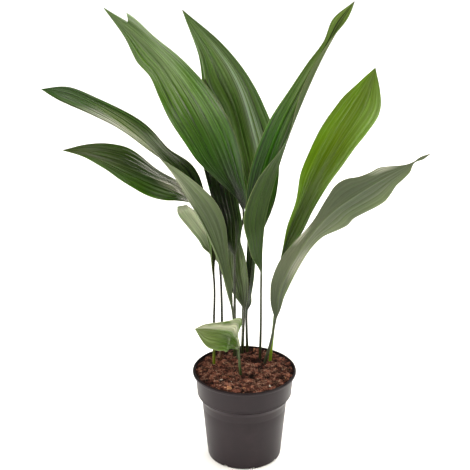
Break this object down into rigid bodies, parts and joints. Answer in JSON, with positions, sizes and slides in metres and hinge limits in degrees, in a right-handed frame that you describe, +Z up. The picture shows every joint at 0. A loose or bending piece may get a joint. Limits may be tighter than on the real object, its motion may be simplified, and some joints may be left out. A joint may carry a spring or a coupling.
{
  "type": "potted cast iron plant",
  "caption": "House plant with long leathery pointed leaves on thin stalks, rising from potting soil in a round tapered plastic nursery pot.",
  "frame": {"origin": "centre of the pot's flat underside", "axes": "+Z up, along the pot's axis and the tallest leaves; -Y towards the plant's front, the side with the small low leaf; the leaves fan out mainly along X"},
  "size_m": [0.5974, 0.2876, 0.7673],
  "materials": {
    "pot": "moulded polypropylene, anthracite, satin",
    "soil": "damp peat and bark potting mix, rough",
    "rhizome": "woody creeping stem with leaf scars, dull",
    "leaf_tall_front": "leathery green leaf, satin, fine parallel veins",
    "leaf_tall_back": "leathery green leaf, satin, fine parallel veins",
    "leaf_folded": "leathery green leaf, satin, fine parallel veins",
    "leaf_bright": "leathery green leaf, satin, fine parallel veins",
    "leaf_low_right": "leathery green leaf, satin, fine parallel veins",
    "leaf_long_left": "leathery green leaf, satin, fine parallel veins",
    "leaf_low_left": "leathery green leaf, satin, fine parallel veins",
    "leaf_pale": "leathery green leaf, satin, fine parallel veins",
    "leaf_dark_inner": "leathery green leaf, satin, fine parallel veins",
    "leaf_small_inner": "leathery green leaf, satin, fine parallel veins",
    "leaf_low_small": "leathery green leaf, satin, fine parallel veins"
  },
  "bodies": {
    "root": {"pot": "pot", "soil": "soil", "rhizome": "rhizome", "leaf_tall_front": "leaf_tall_front", "leaf_tall_back": "leaf_tall_back", "leaf_folded": "leaf_folded", "leaf_bright": "leaf_bright", "leaf_low_right": "leaf_low_right", "leaf_long_left": "leaf_long_left", "leaf_low_left": "leaf_low_left", "leaf_pale": "leaf_pale", "leaf_dark_inner": "leaf_dark_inner", "leaf_small_inner": "leaf_small_inner", "leaf_low_small": "leaf_low_small"}
  },
  "joints": []
}
